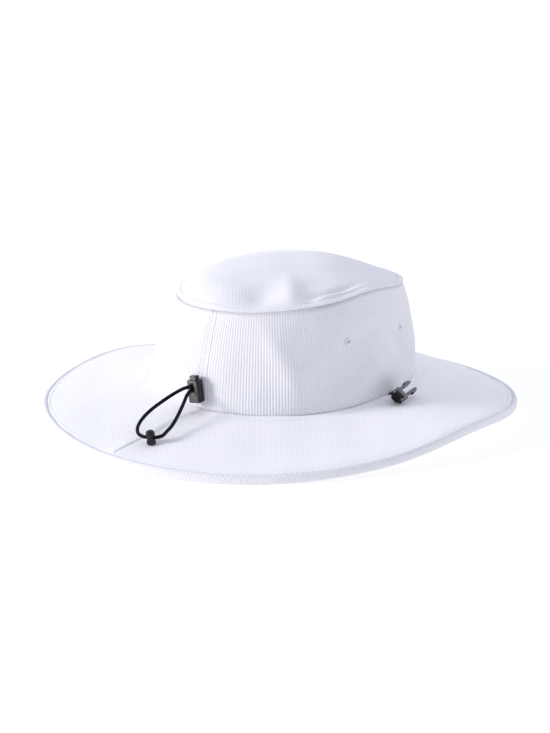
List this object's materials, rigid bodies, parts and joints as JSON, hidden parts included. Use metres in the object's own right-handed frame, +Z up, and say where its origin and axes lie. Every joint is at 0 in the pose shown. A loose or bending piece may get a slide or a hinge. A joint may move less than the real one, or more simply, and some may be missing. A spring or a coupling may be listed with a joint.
{
  "type": "sun hat",
  "caption": "Wide-brimmed white knit sun hat with a flared crown, vent eyelets, an elastic drawcord with a cord lock at the back, and small side clips.",
  "frame": {"origin": "under the middle of the brim, on the surface that the rim rests on", "axes": "+Z up, +Y towards the back of the hat where the cord lock is, +X to the wearer's left"},
  "size_m": [0.3104, 0.3434, 0.1105],
  "materials": {
    "knit_cloth": "white ribbed performance knit",
    "rim_cloth": "white ribbed knit, turned and stitched",
    "eyelet_thread": "white embroidery thread",
    "black_plastic": "moulded black, semi-gloss",
    "black_elastic": "braided elastic cord",
    "black_tape": "woven narrow tape"
  },
  "bodies": {
    "hat": {"crown_side": "knit_cloth", "crown_tip": "knit_cloth", "brim": "knit_cloth", "brim_rim": "rim_cloth", "eyelet_left_front": "eyelet_thread", "eyelet_left_back": "eyelet_thread", "eyelet_right_back": "eyelet_thread", "eyelet_right_front": "eyelet_thread", "cord_lock_body": "black_plastic", "drawcord": "black_elastic", "cord_stopper": "black_plastic", "side_clip_left": "black_plastic", "clip_tape_left": "black_tape", "side_clip_right": "black_plastic", "clip_tape_right": "black_tape"},
    "lock_button": {"cord_lock_button": "black_plastic"}
  },
  "joints": [
    {"name": "lock_button_press", "type": "slide", "parent": "hat", "child": "lock_button", "axis": [-0.1216, -0.0077, -0.9925], "range_m": [0, 0.0018], "stiffness_N_per_m": 400, "springref_m": -0.002}
  ]
}
